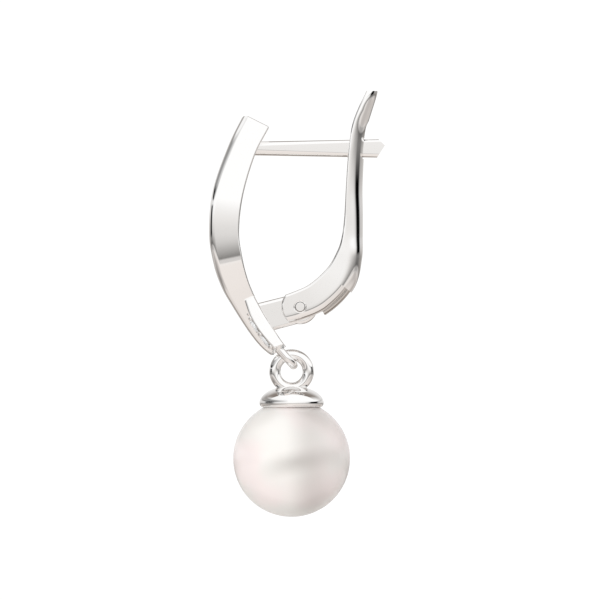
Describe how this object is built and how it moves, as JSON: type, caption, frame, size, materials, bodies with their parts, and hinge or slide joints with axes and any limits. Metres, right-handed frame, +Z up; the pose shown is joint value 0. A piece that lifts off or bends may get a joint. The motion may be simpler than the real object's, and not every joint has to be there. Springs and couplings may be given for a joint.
{
  "type": "lever-back earring with pearl drop",
  "caption": "Lever-back earring in white metal: domed ribbon front with a stone-set limb, slotted back lever on a hinge, and a round pearl hanging from a loop.",
  "frame": {"origin": "the middle of the post's free span, on the post's axis, where it passes through the ear lobe", "axes": "+Z up as worn, +X along the post from the decorative front to the back of the lobe, +Y away from the side that carries the stone-set limb"},
  "size_m": [0.0113, 0.0074, 0.0274],
  "materials": {
    "white_metal": "mirror polish",
    "cut_stone": "cut and polished, clear",
    "spring_metal": "polished",
    "nacre": "soft gloss"
  },
  "bodies": {
    "front": {"shank": "white_metal", "stone_1": "cut_stone", "stone_2": "cut_stone", "hinge_pin": "white_metal"},
    "back_lever": {"lever": "white_metal", "spring": "spring_metal"},
    "drop": {"cap": "white_metal", "pearl": "nacre"}
  },
  "joints": [
    {"name": "lever_hinge", "type": "hinge", "parent": "front", "child": "back_lever", "pos_m": [-0.00025, 0, -0.01017], "axis": [0, 1, 0], "range_deg": [0, 75]},
    {"name": "drop_swing", "type": "hinge", "parent": "front", "child": "drop", "pos_m": [-0.00068, 0, -0.01393], "axis": [0, -1, 0], "range_deg": [-12, 50]}
  ]
}
